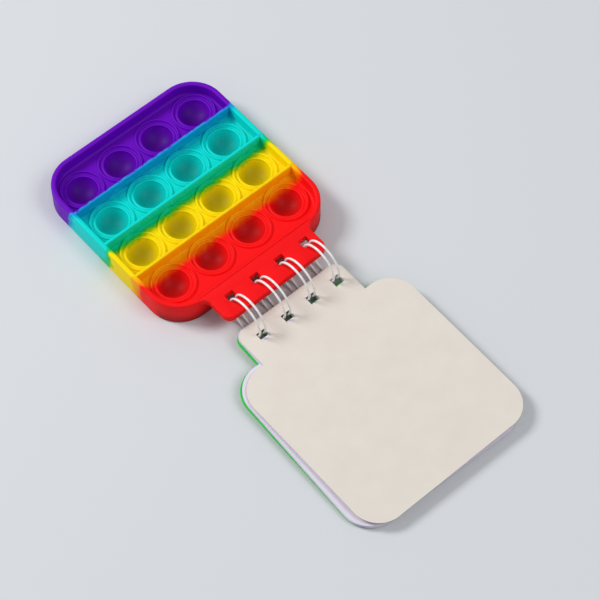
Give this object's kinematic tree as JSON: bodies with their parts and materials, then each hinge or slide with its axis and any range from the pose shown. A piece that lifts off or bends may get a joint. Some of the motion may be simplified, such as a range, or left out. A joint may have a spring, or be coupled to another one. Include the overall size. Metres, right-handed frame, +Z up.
{
  "type": "push bubble notebook",
  "caption": "Pocket notebook lying open: a soft moulded bubble tray as front cover, twin-loop wire binding, jar-shaped sheets and a thin plastic back cover.",
  "frame": {"origin": "centre of the footprint of the open notebook, on the table; sideways it is the middle of the tray, within 1 mm of the middle of the footprint", "axes": "+Z up from the table; +Y from the pad to the bubble cover; +X along the row of punched holes"},
  "size_m": [0.0859, 0.205, 0.0189],
  "materials": {
    "silicone": "satin",
    "silicone_purple": "satin",
    "silicone_turquoise": "satin",
    "silicone_yellow": "satin",
    "silicone_red": "satin",
    "coated_wire": "gloss",
    "cream_paper": "matte",
    "white_paper": "matte",
    "green_plastic": "satin"
  },
  "bodies": {
    "cover": {"bubble_cover": "silicone"},
    "wire": {"twin_loop_wire": "coated_wire"},
    "pad": {"sheet_02": "white_paper", "sheet_03": "white_paper", "sheet_04": "white_paper", "sheet_05": "white_paper", "sheet_06": "white_paper", "sheet_07": "white_paper", "sheet_08": "white_paper", "sheet_09": "white_paper", "sheet_10": "white_paper", "sheet_11": "white_paper", "sheet_12": "white_paper", "sheet_13": "white_paper", "sheet_14": "white_paper", "sheet_15": "white_paper", "sheet_16": "white_paper", "sheet_17": "white_paper"},
    "back": {"back_cover": "green_plastic"},
    "top_sheet": {"sheet_01": "cream_paper"},
    "bubble_r1c1": {"bubble_r1c1": "silicone_purple"},
    "bubble_r1c2": {"bubble_r1c2": "silicone_purple"},
    "bubble_r1c3": {"bubble_r1c3": "silicone_purple"},
    "bubble_r1c4": {"bubble_r1c4": "silicone_purple"},
    "bubble_r2c1": {"bubble_r2c1": "silicone_turquoise"},
    "bubble_r2c2": {"bubble_r2c2": "silicone_turquoise"},
    "bubble_r2c3": {"bubble_r2c3": "silicone_turquoise"},
    "bubble_r2c4": {"bubble_r2c4": "silicone_turquoise"},
    "bubble_r3c1": {"bubble_r3c1": "silicone_yellow"},
    "bubble_r3c2": {"bubble_r3c2": "silicone_yellow"},
    "bubble_r3c3": {"bubble_r3c3": "silicone_yellow"},
    "bubble_r3c4": {"bubble_r3c4": "silicone_yellow"},
    "bubble_r4c1": {"bubble_r4c1": "silicone_red"},
    "bubble_r4c2": {"bubble_r4c2": "silicone_red"},
    "bubble_r4c3": {"bubble_r4c3": "silicone_red"},
    "bubble_r4c4": {"bubble_r4c4": "silicone_red"}
  },
  "joints": [
    {"name": "pad_turn", "type": "hinge", "parent": "cover", "child": "pad", "pos_m": [0, -0.00136, 0.00948], "axis": [1, 0, 0], "range_deg": [-180.9, 70]},
    {"name": "top_sheet_turn", "type": "hinge", "parent": "pad", "child": "top_sheet", "pos_m": [0, -0.00136, 0.00948], "axis": [-1, 0, 0], "range_deg": [0, 180]},
    {"name": "back_cover_turn", "type": "hinge", "parent": "pad", "child": "back", "pos_m": [0, -0.00136, 0.00948], "axis": [-1, 0, 0], "range_deg": [-70, 0]},
    {"name": "wire_turn", "type": "hinge", "parent": "cover", "child": "wire", "pos_m": [0, -0.00136, 0.00948], "axis": [1, 0, 0], "range_deg": [-100, 2]},
    {"name": "press_r1c1", "type": "hinge", "parent": "cover", "child": "bubble_r1c1", "pos_m": [-0.02925, 0.08912, 0.0059], "axis": [1, 0, 0], "range_deg": [0, 180]},
    {"name": "press_r1c2", "type": "hinge", "parent": "cover", "child": "bubble_r1c2", "pos_m": [-0.00975, 0.08912, 0.0059], "axis": [1, 0, 0], "range_deg": [0, 180]},
    {"name": "press_r1c3", "type": "hinge", "parent": "cover", "child": "bubble_r1c3", "pos_m": [0.00975, 0.08912, 0.0059], "axis": [1, 0, 0], "range_deg": [0, 180]},
    {"name": "press_r1c4", "type": "hinge", "parent": "cover", "child": "bubble_r1c4", "pos_m": [0.02925, 0.08912, 0.0059], "axis": [1, 0, 0], "range_deg": [0, 180]},
    {"name": "press_r2c1", "type": "hinge", "parent": "cover", "child": "bubble_r2c1", "pos_m": [-0.02925, 0.06962, 0.0059], "axis": [1, 0, 0], "range_deg": [0, 180]},
    {"name": "press_r2c2", "type": "hinge", "parent": "cover", "child": "bubble_r2c2", "pos_m": [-0.00975, 0.06962, 0.0059], "axis": [1, 0, 0], "range_deg": [0, 180]},
    {"name": "press_r2c3", "type": "hinge", "parent": "cover", "child": "bubble_r2c3", "pos_m": [0.00975, 0.06962, 0.0059], "axis": [1, 0, 0], "range_deg": [0, 180]},
    {"name": "press_r2c4", "type": "hinge", "parent": "cover", "child": "bubble_r2c4", "pos_m": [0.02925, 0.06962, 0.0059], "axis": [1, 0, 0], "range_deg": [0, 180]},
    {"name": "press_r3c1", "type": "hinge", "parent": "cover", "child": "bubble_r3c1", "pos_m": [-0.02925, 0.05012, 0.0059], "axis": [1, 0, 0], "range_deg": [0, 180]},
    {"name": "press_r3c2", "type": "hinge", "parent": "cover", "child": "bubble_r3c2", "pos_m": [-0.00975, 0.05012, 0.0059], "axis": [1, 0, 0], "range_deg": [0, 180]},
    {"name": "press_r3c3", "type": "hinge", "parent": "cover", "child": "bubble_r3c3", "pos_m": [0.00975, 0.05012, 0.0059], "axis": [1, 0, 0], "range_deg": [0, 180]},
    {"name": "press_r3c4", "type": "hinge", "parent": "cover", "child": "bubble_r3c4", "pos_m": [0.02925, 0.05012, 0.0059], "axis": [1, 0, 0], "range_deg": [0, 180]},
    {"name": "press_r4c1", "type": "hinge", "parent": "cover", "child": "bubble_r4c1", "pos_m": [-0.02925, 0.03062, 0.0059], "axis": [1, 0, 0], "range_deg": [0, 180]},
    {"name": "press_r4c2", "type": "hinge", "parent": "cover", "child": "bubble_r4c2", "pos_m": [-0.00975, 0.03062, 0.0059], "axis": [1, 0, 0], "range_deg": [0, 180]},
    {"name": "press_r4c3", "type": "hinge", "parent": "cover", "child": "bubble_r4c3", "pos_m": [0.00975, 0.03062, 0.0059], "axis": [1, 0, 0], "range_deg": [0, 180]},
    {"name": "press_r4c4", "type": "hinge", "parent": "cover", "child": "bubble_r4c4", "pos_m": [0.02925, 0.03062, 0.0059], "axis": [1, 0, 0], "range_deg": [0, 180]}
  ]
}
